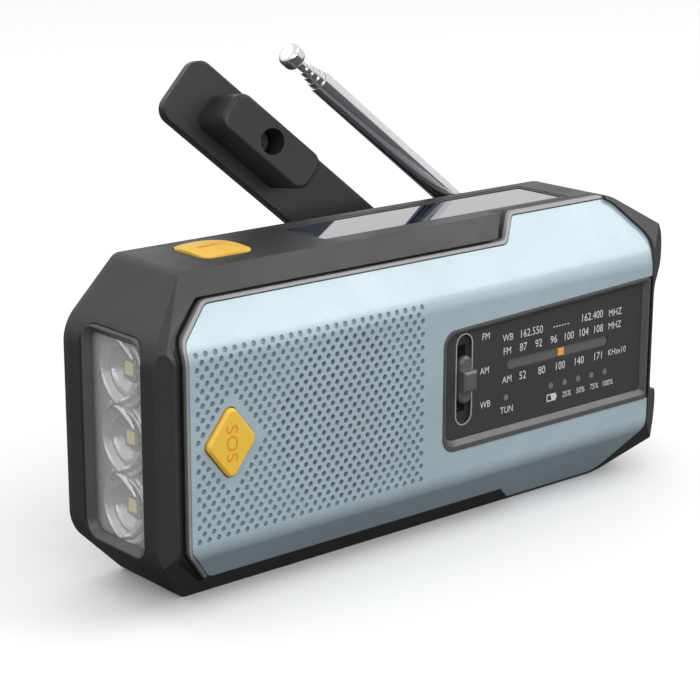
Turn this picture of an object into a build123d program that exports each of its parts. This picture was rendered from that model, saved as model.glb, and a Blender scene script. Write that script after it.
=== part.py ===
from build123d import *
import os
from math import atan, cos, pi, radians, sin, sqrt

# Hand-crank emergency radio, millimetres.
# X runs along the length (torch end at -X), Y from front to rear, Z up.
# The origin is the centre of the flat underside between the two ends.

# ---------------------------------------------------------------- driving dimensions
LENGTH = 152.0
HEIGHT = 68.0
END = LENGTH / 2
MID_Z = HEIGHT / 2
SLOPE = 0.88              # run back per millimetre of rise on the sloping front bands
FRAME_Y = -15.2           # raised frame, frontmost face of the case
PANEL_Y = -14.0           # face of the blue panel
PANEL_THICK = 1.4
FRONT_WALL_Y = PANEL_Y + PANEL_THICK
CAVITY_Y = FRONT_WALL_Y + 1.7
FRAME_TOP_Y = -3.2        # where the frame's slope meets the top face
PANEL_TOP_Y = -2.0
SPLIT_Y = 17.4            # joint between front housing and rear cover
REAR_Y = 20.0
UPPER_REAR_Y = 19.1       # set-back band that the stowed antenna lies in
WALL = 2.0
GAP = 0.25                # assembly gap between neighbouring pieces
RUN = 0.06                # running clearance of a shaft in its bore

BODY_OUTLINE = [
    (-63.35, 0), (58, 0), (76, 12.0), (76, 18.4), (65, 21.5), (65, 46.5), (76, 49.6),
    (76, 56.0), (58, 68), (-63.35, 68), (-76, 55.35), (-76, 12.65),
]
BODY_RADII = [3, 8, 6.8, 3.6, 3, 3, 3.6, 6.8, 8, 3, 9, 9]
PANEL_OUTLINE = [
    (-59.6, 5.0), (22.5, 5.0), (28.3, 0.9), (57.5, 0.9), (62.6, 13.6), (62.6, 54.4), (64.3, 58.5),
    (58.0, 66.9), (27.5, 66.9), (21.9, 61.9), (-60.2, 61.9), (-69, 56.0), (-69, 14.4),
]
PANEL_RADII = [3, 2, 2, 4, 3, 3, 3, 4, 2, 3, 3, 3, 3]
TRIM_WIDTH = 0.9
RIDGE_OUTLINE = [
    (-61.0, 3.7), (-57, 6), (24, 6), (24, 60), (57, 60), (57, 72), (26.5, 72),
    (19.3, 63.5), (-62.3, 63.5), (-72.8, 57.0), (-72.8, 13.4),
]

DIAL_OUTLINE = [(-2.8, 20.6), (61.9, 20.6), (61.9, 49.8), (-2.8, 47.4)]
DIAL_OPENING = [(-2.9, 20.5), (66, 20.5), (66, 50.05), (-2.9, 47.5)]
DIAL_FACE_Y = PANEL_Y - 0.2
DIAL_PLATE_Y = -13.1
DIAL_BEVEL_ANGLE = 45.0
SLOT_X = 3.9              # band slider
SLOT_Z = 35.9
SLOT_LENGTH = 20.0
SLOT_WIDTH = 4.4
POINTER_Z = 36.75
POINTER_X = 33.9
SCALE_X0 = 17.0
SCALE_X1 = 49.4
LAMP_Z = 29.3
LAMP_R = 0.85
LAMP_X = [17.0, 31.1, 35.5, 39.95, 44.3, 48.7]

SPEAKER_X = -30.0
SPEAKER_Z = 34.6
SPEAKER_R = 19.6
SPEAKER_HOLE_R = 18.5
GRILLE_PITCH_X = 2.33
GRILLE_PITCH_Z = 1.45
GRILLE_R = 0.57
GRILLE_X0 = -67.2
GRILLE_X1 = -8.6
GRILLE_Z0 = 16.4
GRILLE_Z1 = 54.2

SOS_X = -59.6
SOS_Z = 35.4
SOS_HALF_W = 6.3
SOS_HALF_H = 8.0
TORCH_KEY_X = -46.5
TORCH_KEY_Y = 8.5
TORCH_KEY_HALF = 6.2
TORCH_KEY_R = 2.2
TORCH_KEY_TOP = 69.0

WINDOW_Y0 = -7.7
WINDOW_Y1 = 13.6
WINDOW_Z0 = 12.0
WINDOW_Z1 = 57.0
WINDOW_R = 4.0
CUP_COUNT = 3
CUP_PITCH = 14.2
LENS_X = -73.65
CUP_X = -73.2
CUP_BACK_X = -64.0

SOLAR_X0 = -23.7
SOLAR_X1 = 49.1
SOLAR_Y0 = 0.6
SOLAR_Y1 = 16.6
SOLAR_RIM = 1.1
SOLAR_FLOOR_Z = 66.4

CRANK_X = 38.14
CRANK_Z = 34.0
CRANK_ANGLE = 136.972     # arm direction from +X towards +Z
CRANK_LIFT = 13.5         # arm swung out from flat
SHAFT_R = 3.0
HUB_R = 11.0
HUB_Y0 = 20.3
HUB_Y1 = 23.0
FOLD_S = 9.0              # fold pin from the shaft axis, along the arm
FOLD_Y = 26.15
ARM_THICK = 3.0
ARM_HALF_W = 7.97
ARM_START = 2.3           # from the fold pin
ARM_END = 84.1
KNOB_AT = 63.0
KNOB_HALF_L = 12.85
KNOB_HALF_W = 4.6
KNOB_TOP = 12.0
KNOB_SCREW_R = 1.5

MODULE = 0.5
PRESSURE_ANGLE = 20.0
BACKLASH = 0.12
DRIVE_TEETH = 48
PINION_TEETH = 12
WHEEL_TEETH = 40
ROTOR_TEETH = 10
IDLER_X = CRANK_X - MODULE * (DRIVE_TEETH + PINION_TEETH) / 2
ROTOR_X = IDLER_X - MODULE * (WHEEL_TEETH + ROTOR_TEETH) / 2

ANTENNA_X = 48.0
ANTENNA_Z = 53.9
ANTENNA_Y = 21.8
ANTENNA_ANGLE = 142.03
KNUCKLE_S = 6.0
# outer radius, inner radius, start and end along the axis from the pivot
TUBES = [
    (2.55, 2.25, 9.0, 70.7),
    (2.20, 1.90, 12.0, 72.3),
    (1.85, 1.55, 14.0, 74.0),
    (1.50, 1.10, 16.0, 75.6),
    (1.05, 0.0, 18.0, 78.0),
]

SCREWS = [(-61, 6.5), (-61, 61.5), (56, 6.5), (56, 61.5), (-31, 62.3), (22, 5.7)]
DOOR = (-51.0, 15.0, 3.5, 22.5)
PORT = (43.5, 60.5, 11.5, 21.0)
KNOB_POCKET = (-52.0, -20.0, 27.2, 40.8)
KNOB_POCKET_Y = 11.5
POCKET_WALL = 1.6


# ---------------------------------------------------------------- shared shapes
def block(x0, x1, y0, y1, z0, z1):
    """Box between two opposite corners."""
    return Pos((x0 + x1) / 2, (y0 + y1) / 2, (z0 + z1) / 2) * Box(x1 - x0, y1 - y0, z1 - z0)


def rod_x(radius, x0, x1, y, z):
    """Cylinder along X."""
    return Pos((x0 + x1) / 2, y, z) * Rot(0, 90, 0) * Cylinder(radius, x1 - x0)


def rod_y(radius, x, z, y0, y1):
    """Cylinder along Y."""
    return Pos(x, (y0 + y1) / 2, z) * Rot(90, 0, 0) * Cylinder(radius, y1 - y0)


def rod_z(radius, x, y, z0, z1):
    """Cylinder along Z."""
    return Pos(x, y, (z0 + z1) / 2) * Cylinder(radius, z1 - z0)


def outline(points, radii):
    """Closed face with its corners rounded; radii is one number or one for each corner."""
    if isinstance(radii, (int, float)):
        radii = [radii] * len(points)
    return make_face(FilletPolyline(*points, radius=radii, close=True))


def prism_y(face, y0, y1):
    """Prism along Y from a face drawn in (x, z)."""
    return extrude(Plane.XZ.offset(-y0) * face, amount=y1 - y0, dir=(0, 1, 0))


def prism_x(face, x0, x1):
    """Prism along X from a face drawn in (y, z)."""
    return extrude(Plane.YZ.offset(x0) * face, amount=x1 - x0)


def prism_z(face, z0, z1):
    """Prism along Z from a face drawn in (x, y)."""
    return extrude(Plane.XY.offset(z0) * face, amount=z1 - z0)


def tapered_y(face, y0, y1, angle):
    """Prism along +Y that narrows by angle as it goes back."""
    plane = Plane(origin=(0, y0, 0), x_dir=(-1, 0, 0), z_dir=(0, 1, 0))
    return extrude(plane * mirror(face, about=Plane.YZ), amount=y1 - y0, taper=angle)


def rounded_rect(u0, u1, v0, v1, radius):
    """Rounded rectangle between two corners."""
    return Pos((u0 + u1) / 2, (v0 + v1) / 2) * RectangleRounded(u1 - u0, v1 - v0, radius)


def diamond(half_w, half_h, radius):
    """Lozenge with rounded corners."""
    return outline([(-half_w, 0), (0, -half_h), (half_w, 0), (0, half_h)], radius)


def front_profile(front_y, top_y, bottom_y, blend):
    """Side profile of the case: flat front with bands that slope back above and below."""
    top_z = HEIGHT - (top_y - front_y) / SLOPE
    bottom_z = (bottom_y - front_y) / SLOPE
    margin = 2.0
    back = REAR_Y + margin
    points = [
        (back, -margin), (bottom_y + margin * SLOPE, -margin), (front_y, bottom_z),
        (front_y, top_z), (top_y + margin * SLOPE, HEIGHT + margin), (back, HEIGHT + margin),
    ]
    return outline(points, [0, 0, blend, blend, 0, 0])


def behind(front_y, top_y, bottom_y, blend):
    """Everything behind a front surface, the whole length of the case."""
    return prism_x(front_profile(front_y, top_y, bottom_y, blend), -END - 1, END + 1)


def half_space(origin, normal):
    """Large block on the outer side of a plane."""
    size = 2 * LENGTH
    return Plane(origin=origin, z_dir=normal) * Pos(0, 0, size / 2) * Box(size, size, size)


def union(shapes):
    """Sum of a list of shapes."""
    total = shapes[0]
    for shape in shapes[1:]:
        total = total + shape
    return total


def save(name, shape):
    """Write one sub-part."""
    shape.label = name
    export_step(shape, os.path.join("parts", name + ".step"))


# ---------------------------------------------------------------- case
PANEL_FACE = outline(PANEL_OUTLINE, PANEL_RADII)
BODY_FACE = outline(BODY_OUTLINE, BODY_RADII)
SOS_FACE = Pos(SOS_X, SOS_Z) * diamond(SOS_HALF_W, SOS_HALF_H, 1.6)
SOS_OPENING = Pos(SOS_X, SOS_Z) * diamond(SOS_HALF_W + 1.4 * GAP, SOS_HALF_H + 1.4 * GAP, 1.8)
TORCH_KEY_FACE = Pos(TORCH_KEY_X, TORCH_KEY_Y) * RectangleRounded(
    2 * TORCH_KEY_HALF, 2 * TORCH_KEY_HALF, TORCH_KEY_R)
TORCH_KEY_OPENING = offset(TORCH_KEY_FACE, amount=GAP)
PANEL_FRONT = (PANEL_Y, PANEL_TOP_Y, PANEL_TOP_Y)
PANEL_BACK = (FRONT_WALL_Y, PANEL_TOP_Y + PANEL_THICK, PANEL_TOP_Y + PANEL_THICK)
INNER_FRONT = (CAVITY_Y, PANEL_TOP_Y + 3.1, PANEL_TOP_Y + 3.1)
BLEND = 6.0
INNER_BLEND = 0.5
RIGHT_BEVEL = (0.709, -1, 0)


def corner_bevel(z_of):
    """Bevel across a torch-end corner of the frame; z_of flips it for the lower corner."""
    top = Vector(-63.35, FRAME_TOP_Y, z_of(HEIGHT))
    end = Vector(-END, -11.9, z_of(55.35))
    ridge = Vector(-73.2, -15.1, z_of(56.0))
    normal = (ridge - top).cross(end - top)
    if normal.Y > 0:
        normal = normal * -1
    return half_space(top, normal)


def trim_zone():
    """Where the trim strip runs: the torch end and the top, not the underside or the thumbwheel end."""
    return block(-80, 57, FRAME_Y - 3, SPLIT_Y, 9, 72) + block(-80, -60.5, FRAME_Y - 3, SPLIT_Y, -4, 9.1)


def make_front_housing():
    """Front shell with its raised frame, panel pocket, bosses and openings."""
    shell = prism_y(BODY_FACE, FRAME_Y - 1, SPLIT_Y)
    shell = shell & behind(FRAME_Y, FRAME_TOP_Y, PANEL_TOP_Y, 4)
    shell = shell - corner_bevel(lambda z: z) - corner_bevel(lambda z: HEIGHT - z)
    shell = shell - half_space((-END, -11.9, MID_Z), (-3.3, -2.6, 0))
    shell = shell - half_space((62.8, PANEL_Y - 0.2, MID_Z), RIGHT_BEVEL)

    inside = prism_y(offset(BODY_FACE, amount=-WALL), CAVITY_Y - 1, SPLIT_Y + 1)
    inside = inside & behind(*INNER_FRONT, INNER_BLEND)
    inside = inside - half_space((62.8, PANEL_Y + WALL + 0.6, MID_Z), RIGHT_BEVEL)
    shell = shell - inside

    groove = 1.9
    seat = 0.8
    edge = prism_y(offset(PANEL_FACE, amount=TRIM_WIDTH + 0.1), FRAME_Y - 2, SPLIT_Y) & trim_zone()
    ledge = prism_y(outline(RIDGE_OUTLINE, 2), FRAME_Y - 2, SPLIT_Y) - edge
    ledge = ledge - prism_y(offset(PANEL_FACE, amount=0.1), FRAME_Y - 2, SPLIT_Y)
    ledge = ledge - behind(PANEL_Y + groove, PANEL_TOP_Y + groove, PANEL_TOP_Y + groove, BLEND)
    pocket = edge - behind(PANEL_Y + seat, PANEL_TOP_Y + seat, PANEL_TOP_Y + seat, BLEND)
    deep = prism_y(offset(PANEL_FACE, amount=0.1), FRAME_Y - 2, SPLIT_Y) - behind(*PANEL_BACK, BLEND)
    shell = shell - ledge - pocket - deep

    within = behind(CAVITY_Y - 0.4, INNER_FRONT[1] - 0.4, INNER_FRONT[2] - 0.4, INNER_BLEND)
    bosses = union([rod_y(3.0, x, z, -13, 15.4) for x, z in SCREWS])
    shelf = block(-50, -44, -12, 12, 57.3, 58.4) + block(-60, -56, -11, -4, 24.9, 26.4)
    shelf = shelf + block(-60, -56, -11, -4, 44.4, 45.9)
    solar_bed = block(SOLAR_X0 - 2.5, SOLAR_X1 + 2.5, SOLAR_Y0 - 1.5, SPLIT_Y, 64.4, 66.5)
    shell = shell + ((bosses + shelf + solar_bed) & within)

    cuts = [rod_y(1.1, x, z, 3, SPLIT_Y) for x, z in SCREWS]
    cuts.append(rod_y(SPEAKER_HOLE_R, SPEAKER_X, SPEAKER_Z, -14, -9))
    cuts.append(prism_y(SOS_OPENING, -16, -9))
    cuts.append(prism_z(TORCH_KEY_OPENING, 64, 70))
    window = rounded_rect(WINDOW_Y0, WINDOW_Y1, WINDOW_Z0, WINDOW_Z1, WINDOW_R)
    cuts.append(prism_x(window, -END - 1, -END + 3))
    cuts.append(block(SOLAR_X0, SOLAR_X1, SOLAR_Y0, SOLAR_Y1, SOLAR_FLOOR_Z - 0.5, HEIGHT + 1))
    cuts.append(block(SLOT_X - 1.3, SLOT_X + 1.3, -14, -9, SLOT_Z - 7.5, SLOT_Z + 7.5))
    cuts.append(block(SLOT_X - 2.1, SLOT_X + 2.1, -14, -12.2, SLOT_Z - 9.7, SLOT_Z + 9.7))
    cuts.append(block(SCALE_X0 - 1, SCALE_X1 + 1, -14, -11.4, POINTER_Z - 2.2, POINTER_Z + 2.2))
    cuts += [rod_y(LAMP_R, x, LAMP_Z, -14, -9) for x in LAMP_X]
    cuts.append(rod_x(3.2, 60, 68, 8, 39.9))
    cuts.append(rod_x(3.2, 60, 68, 8, 27.6))
    return shell - union(cuts)


def make_front_panel():
    """Blue panel wrapped round the dial, with its speaker field of small holes."""
    sheet = prism_y(PANEL_FACE, FRAME_Y - 2, SPLIT_Y) & behind(*PANEL_FRONT, BLEND)
    sheet = sheet - behind(*PANEL_BACK, BLEND)
    sheet = sheet - prism_y(outline(DIAL_OPENING, [3.5, 0, 0, 3.5]), FRAME_Y, -11)
    sheet = sheet - prism_y(SOS_OPENING, FRAME_Y, -11)
    blind, through = grille_holes()
    sheet = sheet - extrude(Plane.XZ.offset(-PANEL_Y + 0.5) * blind, amount=1.6, dir=(0, 1, 0))
    return sheet - extrude(Plane.XZ.offset(-PANEL_Y + 0.5) * through, amount=3, dir=(0, 1, 0))


def grille_holes():
    """Sketches of the blind and the open holes of the speaker field, in staggered rows."""
    blind = []
    through = []
    rows = int((GRILLE_Z1 - GRILLE_Z0) / GRILLE_PITCH_Z) + 1
    columns = int((GRILLE_X1 - GRILLE_X0) / GRILLE_PITCH_X) + 1
    for row in range(rows):
        z = GRILLE_Z0 + row * GRILLE_PITCH_Z
        shift = GRILLE_PITCH_X / 2 * (row % 2)
        for column in range(columns):
            x = GRILLE_X0 + shift + column * GRILLE_PITCH_X
            beside_key = abs(x - SOS_X) / SOS_HALF_W + abs(z - SOS_Z) / SOS_HALF_H
            if x > GRILLE_X1 or beside_key < 1.26:
                continue
            from_speaker = sqrt((x - SPEAKER_X) ** 2 + (z - SPEAKER_Z) ** 2)
            group = through if from_speaker < SPEAKER_HOLE_R - 1 else blind
            group.append(Pos(x, z))
    return [Sketch() + [place * Circle(GRILLE_R) for place in group] for group in (blind, through)]


def make_panel_trim():
    """Thin light strip between the frame and the panel."""
    ring = offset(PANEL_FACE, amount=TRIM_WIDTH) - offset(PANEL_FACE, amount=0.25)
    strip = prism_y(ring, FRAME_Y - 2, SPLIT_Y)
    strip = strip & behind(PANEL_Y - 0.2, PANEL_TOP_Y - 0.2, PANEL_TOP_Y - 0.2, BLEND)
    back = PANEL_THICK - 0.6
    strip = strip - behind(PANEL_Y + back, PANEL_TOP_Y + back, PANEL_TOP_Y + back, BLEND)
    strip = strip & prism_y(offset(BODY_FACE, amount=-0.2), FRAME_Y - 2, SPLIT_Y)
    strip = strip & trim_zone()
    return strip.solids().sort_by(SortBy.VOLUME)[-1]


def make_dial_frame():
    """Bevelled surround of the dial."""
    surround = prism_y(outline(DIAL_OUTLINE, [3.4, 0.6, 0.6, 3.4]), DIAL_FACE_Y, FRONT_WALL_Y - 0.1)
    mouth = outline([(-2.2, 21.7), (61.3, 21.7), (61.3, 49.2), (-2.2, 46.9)], [2.9, 0.5, 0.5, 2.9])
    surround = surround - tapered_y(mouth, DIAL_FACE_Y, FRONT_WALL_Y, DIAL_BEVEL_ANGLE)
    well = offset(dial_floor(), amount=0.1)
    return surround - prism_y(well, DIAL_FACE_Y + 0.6, FRONT_WALL_Y)


def dial_floor():
    """Outline of the dial plate, a little inside the surround's bevel."""
    return outline([(-1.0, 22.9), (60.2, 22.9), (60.2, 48.0), (-1.0, 45.8)], [1.8, 0.4, 0.4, 1.8])


def make_dial_plate():
    """Dark plate with the scales, its slots and its lamp holes."""
    plate = prism_y(dial_floor(), DIAL_PLATE_Y, FRONT_WALL_Y - 0.1)
    z0, z1 = SLOT_Z - SLOT_LENGTH / 2, SLOT_Z + SLOT_LENGTH / 2
    slot = rounded_rect(SLOT_X - SLOT_WIDTH / 2, SLOT_X + SLOT_WIDTH / 2, z0, z1, 2.1)
    window = rounded_rect(SCALE_X0, SCALE_X1, POINTER_Z - 1.15, POINTER_Z + 1.15, 1.1)
    plate = plate - prism_y(slot, -14, -12) - prism_y(window, -14, -12)
    return plate - union([rod_y(LAMP_R, x, LAMP_Z, -14, -12) for x in LAMP_X])


def make_scale_strip():
    """Pale strip behind the pointer window."""
    return block(SCALE_X0 - 0.8, SCALE_X1 + 0.8, -12.7, -12.3, POINTER_Z - 2.0, POINTER_Z + 2.0)


def make_tuning_pointer():
    """Pointer that travels in its window, in front of the strip."""
    half_w, half_h = 0.9, 0.85
    return block(POINTER_X - half_w, POINTER_X + half_w, -13.08, -12.76,
                 POINTER_Z - half_h, POINTER_Z + half_h)


def make_band_slider():
    """Thumb piece of the band switch, with a raised grip."""
    half_w, half_h = 1.75, 5.3
    face = rounded_rect(SLOT_X - half_w, SLOT_X + half_w, SLOT_Z - half_h, SLOT_Z + half_h, 1.65)
    base = prism_y(face, -14.1, -12.75)
    base = chamfer(base.faces().sort_by(Axis.Y)[0].edges(), 0.5)
    grip = block(SLOT_X - 1.9, SLOT_X + 1.9, -15.7, -13.9, SLOT_Z - 2.3, SLOT_Z + 2.3)
    grip = chamfer(grip.faces().sort_by(Axis.Y)[0].edges(), 0.5)
    return base + grip + block(SLOT_X - 1.0, SLOT_X + 1.0, -13.0, -9.4, SLOT_Z - 2.2, SLOT_Z + 2.2)


def make_band_switch():
    """Slide switch body on the main board."""
    body = block(SLOT_X - 3, SLOT_X + 3, -10.6, -5.6, SLOT_Z - 9, SLOT_Z + 9)
    return body - block(SLOT_X - 1.3, SLOT_X + 1.3, -11, -9.2, SLOT_Z - 7.3, SLOT_Z + 7.3)


def make_sos_button():
    """Alarm key on the front, with its retaining flange behind the wall."""
    key = prism_y(SOS_FACE, -15.0, -10.5)
    rim = key.faces().sort_by(Axis.Y)[0].edges()
    key = chamfer(rim, 0.5)
    flange = prism_y(offset(SOS_FACE, amount=0.9), -10.7, -9.9)
    return key + flange


def make_torch_button():
    """Torch key on the top, slightly domed, with its retaining flange."""
    dome_r = 40.0
    key = prism_z(TORCH_KEY_FACE, 65.2, 70)
    key = key & Pos(TORCH_KEY_X, TORCH_KEY_Y, TORCH_KEY_TOP - dome_r) * Sphere(dome_r)
    return key + prism_z(offset(TORCH_KEY_FACE, amount=0.8), 65.0, 65.8)


def make_tact_switches():
    """Push switches under the two keys, on their carrier boards."""
    front = block(-62.4, -56.8, -8.4, -4.0, SOS_Z - 3, SOS_Z + 3) + rod_y(1.5, SOS_X, SOS_Z, -8.8, -8.4)
    front = front + block(-62.4, -53.5, -4.0, -3.0, 25.0, 45.8)
    top = block(-50, -44, 5.5, 11.5, 59.4, 63.6) + rod_z(1.5, TORCH_KEY_X, TORCH_KEY_Y, 63.5, 63.9)
    top = top + block(-53, -41, 3, 14, 58.4, 59.4)
    return Compound(children=[front, top])


# ---------------------------------------------------------------- torch
def window_face(inset):
    """Outline of the torch window, smaller all round by inset."""
    return rounded_rect(WINDOW_Y0 + inset, WINDOW_Y1 - inset, WINDOW_Z0 + inset, WINDOW_Z1 - inset,
                        WINDOW_R - inset)


def window_ring(inset, x0, x1):
    """Plug of the torch window, smaller all round by inset."""
    return prism_x(window_face(inset), x0, x1)


def make_torch_bezel():
    """Funnel-shaped rim of the torch window."""
    front_x, back_x = -75.5, LENS_X - 0.4
    mouth = Plane.YZ.offset(front_x - 0.01) * window_face(0.5)
    throat = Plane.YZ.offset(back_x + 0.01) * window_face(1.9)
    return window_ring(0.15, front_x, back_x) - loft([mouth, throat])


def make_torch_lens():
    """Clear front lens."""
    return window_ring(0.8, LENS_X - 0.35, LENS_X + 0.35)


def cup_centres():
    """Heights of the lamp cups."""
    first = (WINDOW_Z0 + WINDOW_Z1) / 2 - CUP_PITCH * (CUP_COUNT - 1) / 2
    return [first + CUP_PITCH * i for i in range(CUP_COUNT)]


def make_torch_reflector():
    """Moulded block with three bright cups."""
    centre_y = (WINDOW_Y0 + WINDOW_Y1) / 2
    face = rounded_rect(WINDOW_Y0 + 0.4, WINDOW_Y1 - 0.4, WINDOW_Z0 + 0.4, WINDOW_Z1 - 0.4, 3.4)
    body = prism_x(face, CUP_X, CUP_BACK_X) & prism_y(offset(BODY_FACE, amount=-WALL - 0.3), -20, 20)
    depth = CUP_BACK_X - CUP_X
    mouth, throat = 7.6, 2.2
    cup = Plane.XY * make_face([
        Line((0, -0.5), (0, depth + 1)),
        Line((0, depth + 1), (throat, depth + 1)),
        Line((throat, depth + 1), (throat, depth - 1)),
        ThreePointArc((throat, depth - 1), (mouth * 0.72, depth * 0.42), (mouth, 0)),
        Line((mouth, 0), (mouth, -0.5)),
        Line((mouth, -0.5), (0, -0.5)),
    ])
    cup = revolve(cup, axis=Axis.Y)
    for z in cup_centres():
        body = body - Pos(CUP_X, centre_y, z) * Rot(0, 0, -90) * cup
    return body


def make_torch_leds():
    """One LED in each cup."""
    centre_y = (WINDOW_Y0 + WINDOW_Y1) / 2
    half = 1.4
    leds = []
    for z in cup_centres():
        leds.append(block(CUP_BACK_X - 1.6, CUP_BACK_X + 0.1, centre_y - half, centre_y + half,
                          z - half, z + half))
    return Compound(children=leds)


def make_torch_board():
    """Circuit board behind the reflector."""
    return block(CUP_BACK_X + 0.1, CUP_BACK_X + 1.1, WINDOW_Y0 + 1.7, WINDOW_Y1 - 0.6,
                 WINDOW_Z0 + 1, WINDOW_Z1 - 1)


# ---------------------------------------------------------------- solar panel
def make_solar_frame():
    """Surround that holds the solar glass in the top face."""
    outer = rounded_rect(SOLAR_X0 + 0.1, SOLAR_X1 - 0.1, SOLAR_Y0 + 0.1, SOLAR_Y1 - 0.1, 1.0)
    inner = rounded_rect(SOLAR_X0 + SOLAR_RIM, SOLAR_X1 - SOLAR_RIM, SOLAR_Y0 + SOLAR_RIM,
                         SOLAR_Y1 - SOLAR_RIM, 0.8)
    return prism_z(outer, SOLAR_FLOOR_Z - 0.5, HEIGHT - 0.1) - prism_z(inner, SOLAR_FLOOR_Z - 1, HEIGHT + 1)


def solar_plate(z0, z1, radius):
    """Flat plate inside the solar frame."""
    inset = SOLAR_RIM + 0.1
    face = rounded_rect(SOLAR_X0 + inset, SOLAR_X1 - inset, SOLAR_Y0 + inset, SOLAR_Y1 - inset, radius)
    return prism_z(face, z0, z1)


# ---------------------------------------------------------------- speaker and boards
def turned_y(points, x, z):
    """Solid of revolution about an axis along Y; points are (radius, y)."""
    profile = make_face(Polyline(*points, close=True))
    return Pos(x, 0, z) * revolve(profile, axis=Axis.Y)


def make_speaker_frame():
    """Pressed basket."""
    points = [(17.6, -10.85), (SPEAKER_R, -10.85), (SPEAKER_R, -9.6), (18.6, -9.6), (11, -3.4),
              (9.6, -3.4), (9.6, -4.4), (10.4, -4.4), (17.6, -10.0)]
    return turned_y(points, SPEAKER_X, SPEAKER_Z)


def make_speaker_cone():
    """Paper cone with its dust cap."""
    points = [(0, -8.6), (4.5, -7.6), (5.2, -6.6), (14.4, -9.8), (15.6, -10.6), (17.0, -10.3),
              (17.0, -10.0), (15.6, -10.2), (14.4, -9.4), (5.0, -6.0), (5.0, -4.6), (0, -4.6)]
    return turned_y(points, SPEAKER_X, SPEAKER_Z)


def make_speaker_magnet():
    """Magnet and back plate."""
    return rod_y(9.0, SPEAKER_X, SPEAKER_Z, -3.35, 0.4) + rod_y(9.5, SPEAKER_X, SPEAKER_Z, 0.3, 1.3)


def make_main_board():
    """Main circuit board with a few tall components."""
    board = block(0, 60, -5.6, -4.0, 10, 58)
    tuner = block(4, 11, -4.1, -2.6, 48, 55)
    amplifier = block(26, 32, -4.1, -2.6, 48, 54)
    converter = block(40, 46, -4.1, -1.2, 12, 17)
    return board + tuner + amplifier + converter


def make_indicator_leds():
    """Light pipes of the level and tuning lamps."""
    return Compound(children=[rod_y(LAMP_R - 0.1, x, LAMP_Z, -13.0, -5.65) for x in LAMP_X])


def make_ferrite_rod():
    """Rod of the medium-wave aerial."""
    return rod_x(2.5, 4, 50, 10, 59.5)


def make_antenna_coil():
    """Winding on the ferrite rod."""
    return rod_x(3.3, 14, 34, 10, 59.5) - rod_x(2.55, 13, 35, 10, 59.5)


def make_battery_cell():
    """Cylindrical cell with its raised contact."""
    return rod_x(9.0, -49, 15, 7, 12.2) + rod_x(2.8, 14.9, 16, 7, 12.2)


# ---------------------------------------------------------------- gear train
def involute(base, radius):
    """Polar angle of the involute of a base circle at a radius."""
    along = sqrt(max(radius * radius / (base * base) - 1, 0))
    return along - atan(along)


def gear_face(teeth, phase):
    """Spur gear outline with involute flanks; phase turns it by that many degrees."""
    pitch = MODULE * teeth / 2
    base = pitch * cos(radians(PRESSURE_ANGLE))
    tip = pitch + 0.8 * MODULE
    root = pitch - 1.2 * MODULE
    half = (pi * MODULE / 2 - BACKLASH) / 2 / pitch + involute(base, pitch)
    low = max(base, root + 0.05)
    flank = [low, (low + tip) / 2, tip]
    points = []
    for tooth in range(teeth):
        centre = radians(phase) + 2 * pi * tooth / teeth
        rise = [(root, -half - 0.02)] + [(r, involute(base, r) - half) for r in flank]
        for radius, angle in rise + [(r, -a) for r, a in reversed(rise)]:
            points.append((radius * cos(centre + angle), radius * sin(centre + angle)))
    return make_face(Polyline(*points, close=True))


def gear(teeth, phase, x, y0, y1, bore):
    """Spur gear on an axis along Y at the height of the crank shaft."""
    face = gear_face(teeth, phase) - Circle(bore) if bore else gear_face(teeth, phase)
    return prism_y(Pos(x, CRANK_Z) * face, y0, y1)


def make_idler_gear():
    """Double gear between the crank wheel and the generator."""
    wheel = gear(WHEEL_TEETH, 0, IDLER_X, 10.5, 12.5, 1.0 + RUN)
    return wheel + gear(PINION_TEETH, 180 / PINION_TEETH, IDLER_X, 12.4, 15.2, 1.0 + RUN)


def make_generator_rotor():
    """Rotor, its shaft and its pinion."""
    core = rod_y(8.0, ROTOR_X, CRANK_Z, -1, 6.4) + rod_y(1.0, ROTOR_X, CRANK_Z, 6.3, 12.9)
    return core + gear(ROTOR_TEETH, 180 / ROTOR_TEETH, ROTOR_X, 10.2, 12.8, 0)


def make_generator_can():
    """Steel cup round the rotor."""
    cup = rod_y(11.0, ROTOR_X, CRANK_Z, -3, 8.5) - rod_y(8.8, ROTOR_X, CRANK_Z, -1.8, 7.3)
    return cup - rod_y(1.0 + RUN, ROTOR_X, CRANK_Z, 7, 9)


def make_gearbox_plate():
    """Plate that carries the generator and the inner ends of the shafts."""
    plate = block(-2, 51.5, 8.6, 9.8, 22.3, 46)
    holes = [(ROTOR_X, 1.25), (IDLER_X, 1.0), (CRANK_X, 1.5 + RUN)]
    return plate - union([rod_y(r, x, CRANK_Z, 8, 10) for x, r in holes])


def make_crank_shaft():
    """Stepped shaft through the rear cover."""
    return rod_y(SHAFT_R, CRANK_X, CRANK_Z, 10, HUB_Y1 - 0.8) + rod_y(1.5, CRANK_X, CRANK_Z, 8.4, 10.1)


def make_idler_pin():
    """Fixed pin of the idler."""
    return rod_y(1.0, IDLER_X, CRANK_Z, 8.6, 16.6)


# ---------------------------------------------------------------- crank
def turn(angle):
    """Unit vector in the XZ plane at an angle from +X towards +Z."""
    return Vector(cos(radians(angle)), 0, sin(radians(angle)))


ARM_DIR = turn(CRANK_ANGLE)
REARWARD = Vector(0, 1, 0)
LIFT = radians(CRANK_LIFT)
FOLD_PIN = Vector(CRANK_X, FOLD_Y, CRANK_Z) + ARM_DIR * FOLD_S
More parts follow.
